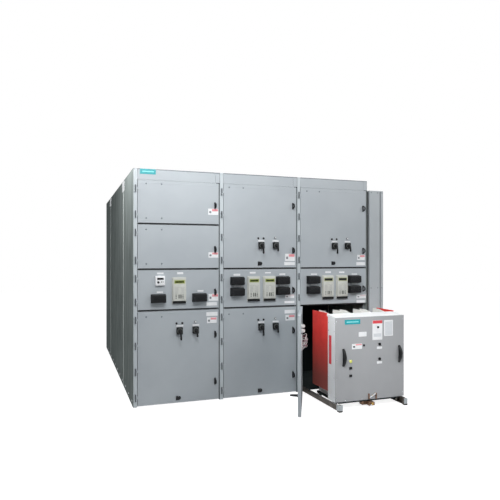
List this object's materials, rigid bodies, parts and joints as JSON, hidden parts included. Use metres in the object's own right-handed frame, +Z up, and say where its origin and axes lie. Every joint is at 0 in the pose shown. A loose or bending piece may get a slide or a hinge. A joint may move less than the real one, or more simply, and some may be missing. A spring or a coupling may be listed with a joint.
{
  "type": "metal-clad switchgear line-up",
  "caption": "Metal-clad medium-voltage switchgear: three cubicle sections with hinged doors and relays, one lower door open and its breaker withdrawn on rails.",
  "frame": {"origin": "on the floor, at the middle of the footprint of the three sections, on the middle cross channel of section 2", "axes": "+X to the right along the front, +Y into the depth, +Z up"},
  "size_m": [2.9742, 4.1993, 2.419],
  "materials": {
    "cabinet_paint": "satin powder coat",
    "frame_paint": "satin powder coat",
    "black_plastic": "moulded",
    "relay_case": "moulded",
    "zinc_steel": "zinc plated",
    "terminal_plastic": "moulded",
    "deck_paint": "satin",
    "red_barrier": "moulded sheet",
    "white_barrier": "moulded sheet",
    "pole_epoxy": "cast",
    "copper": "plated copper",
    "racking_steel": "oiled steel"
  },
  "bodies": {
    "cabinet": {"base_frame": "frame_paint", "left_end_wall": "frame_paint", "right_end_wall": "frame_paint", "section_divider_1": "frame_paint", "section_divider_2": "frame_paint", "roof_plates": "cabinet_paint", "rear_covers": "cabinet_paint", "header_plates": "cabinet_paint", "hinge_posts": "cabinet_paint", "latch_jambs": "frame_paint", "door_rails": "frame_paint", "compartment_shelves": "frame_paint", "compartment_backs": "frame_paint", "compartment_floors": "frame_paint", "cell_shutters": "zinc_steel", "fixed_rails": "zinc_steel", "extension_rails": "zinc_steel", "right_end_column": "cabinet_paint", "section2_lower_door": "cabinet_paint", "section2_lower_controls": "black_plastic"},
    "section1_upper_door": {"section1_upper_door": "cabinet_paint", "section1_upper_handle": "black_plastic"},
    "section1_middle_door": {"section1_middle_door": "cabinet_paint", "section1_middle_handle": "black_plastic"},
    "section1_instrument_door": {"section1_instrument_door": "cabinet_paint", "section1_relay_and_meter": "relay_case", "section1_test_blocks": "black_plastic", "section1_instrument_handle": "black_plastic"},
    "section1_lower_door": {"section1_lower_door": "cabinet_paint", "section1_lower_controls": "black_plastic"},
    "section2_upper_door": {"section2_upper_door": "cabinet_paint", "section2_upper_controls": "black_plastic"},
    "section2_instrument_door": {"section2_instrument_door": "cabinet_paint", "section2_relays": "relay_case", "section2_test_blocks": "black_plastic", "section2_instrument_handle": "black_plastic"},
    "section3_upper_door": {"section3_upper_door": "cabinet_paint", "section3_upper_controls": "black_plastic"},
    "section3_instrument_door": {"section3_instrument_door": "cabinet_paint", "section3_relays": "relay_case", "section3_test_blocks": "black_plastic", "section3_instrument_handle": "black_plastic"},
    "section3_lower_door": {"section3_lower_door": "cabinet_paint", "section3_lower_latch": "black_plastic", "section3_door_terminals": "terminal_plastic"},
    "breaker_truck": {"truck_frame": "frame_paint", "truck_wheels": "zinc_steel", "operator_housing": "cabinet_paint", "breaker_front_panel": "cabinet_paint", "breaker_top_deck": "deck_paint", "side_barriers": "red_barrier", "phase_barriers": "white_barrier", "breaker_poles": "pole_epoxy", "primary_disconnects": "copper", "breaker_fittings": "black_plastic", "racking_unit": "racking_steel"}
  },
  "joints": [
    {"name": "section1_upper_door_hinge", "type": "hinge", "parent": "cabinet", "child": "section1_upper_door", "pos_m": [-1.3516, -1.707, 0], "axis": [0, 0, -1], "range_deg": [0, 110]},
    {"name": "section1_middle_door_hinge", "type": "hinge", "parent": "cabinet", "child": "section1_middle_door", "pos_m": [-1.3516, -1.707, 0], "axis": [0, 0, -1], "range_deg": [0, 110]},
    {"name": "section1_instrument_door_hinge", "type": "hinge", "parent": "cabinet", "child": "section1_instrument_door", "pos_m": [-1.3516, -1.707, 0], "axis": [0, 0, -1], "range_deg": [0, 110]},
    {"name": "section1_lower_door_hinge", "type": "hinge", "parent": "cabinet", "child": "section1_lower_door", "pos_m": [-1.3516, -1.707, 0], "axis": [0, 0, -1], "range_deg": [0, 110]},
    {"name": "section2_upper_door_hinge", "type": "hinge", "parent": "cabinet", "child": "section2_upper_door", "pos_m": [-0.4372, -1.707, 0], "axis": [0, 0, -1], "range_deg": [0, 110]},
    {"name": "section2_instrument_door_hinge", "type": "hinge", "parent": "cabinet", "child": "section2_instrument_door", "pos_m": [-0.4372, -1.707, 0], "axis": [0, 0, -1], "range_deg": [0, 110]},
    {"name": "section3_upper_door_hinge", "type": "hinge", "parent": "cabinet", "child": "section3_upper_door", "pos_m": [0.4772, -1.707, 0], "axis": [0, 0, -1], "range_deg": [0, 110]},
    {"name": "section3_instrument_door_hinge", "type": "hinge", "parent": "cabinet", "child": "section3_instrument_door", "pos_m": [0.4772, -1.707, 0], "axis": [0, 0, -1], "range_deg": [0, 110]},
    {"name": "section3_lower_door_hinge", "type": "hinge", "parent": "cabinet", "child": "section3_lower_door", "pos_m": [0.4772, -1.707, 0], "axis": [0, 0, -1], "range_deg": [-13.5, 11.5]},
    {"name": "breaker_slide", "type": "slide", "parent": "cabinet", "child": "breaker_truck", "axis": [0, -1, 0], "range_m": [-0.815, 0]}
  ]
}
